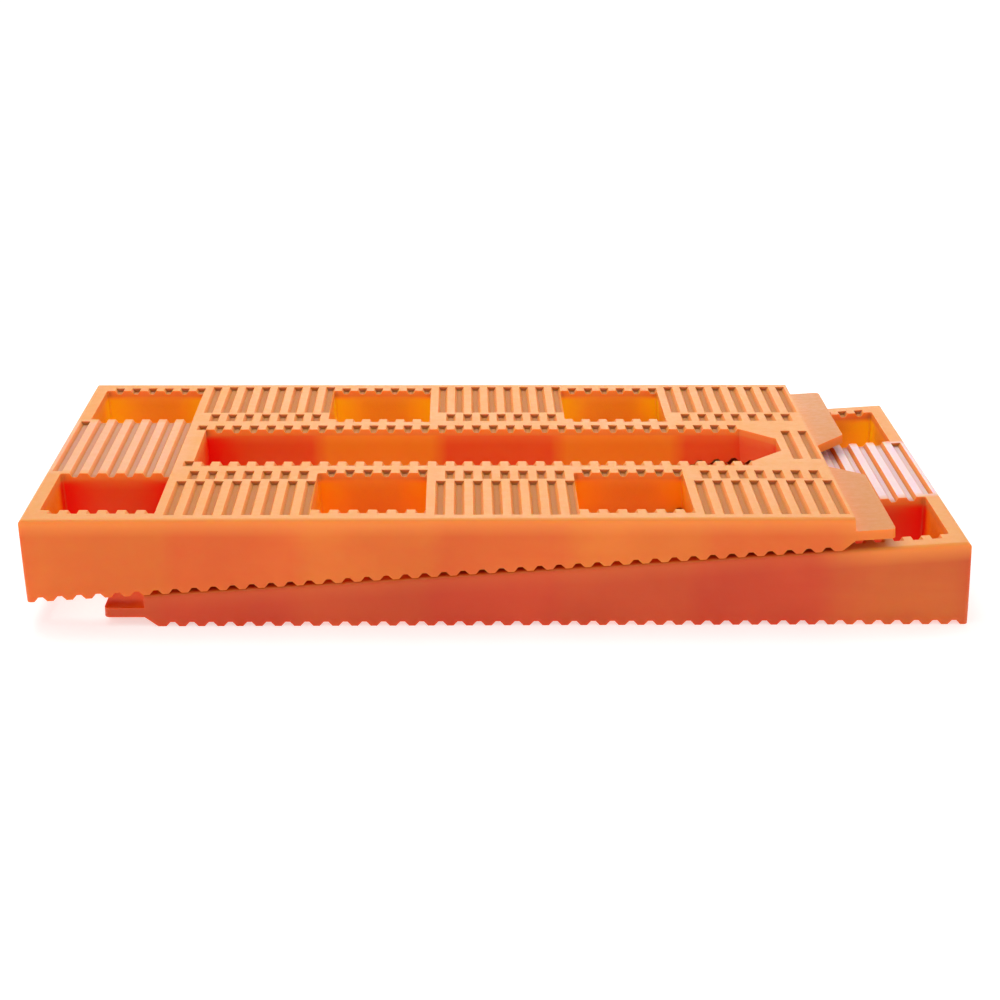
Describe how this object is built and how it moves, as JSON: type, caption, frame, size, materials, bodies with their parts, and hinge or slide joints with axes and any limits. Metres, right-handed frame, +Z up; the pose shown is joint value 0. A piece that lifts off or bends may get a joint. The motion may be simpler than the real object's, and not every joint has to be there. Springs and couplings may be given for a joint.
{
  "type": "tire traction mats",
  "caption": "Translucent orange wedge-shaped tire traction mats with open cells, a long slot and ribbed pads, stored as a level stack.",
  "frame": {"origin": "centre of the stack's footprint, on the ground", "axes": "+X along the mats, towards the lower mat's thick end; +Y across them, away from the viewer; +Z up"},
  "size_m": [0.4598, 0.2326, 0.0551],
  "materials": {
    "orange_plastic": "satin, slightly translucent"
  },
  "bodies": {
    "lower": {"lower_mat": "orange_plastic"},
    "upper": {"upper_mat": "orange_plastic"}
  },
  "joints": [
    {"name": "lift_off", "type": "slide", "parent": "lower", "child": "upper", "axis": [0, 0, 1], "range_m": [0, 0.12]}
  ]
}
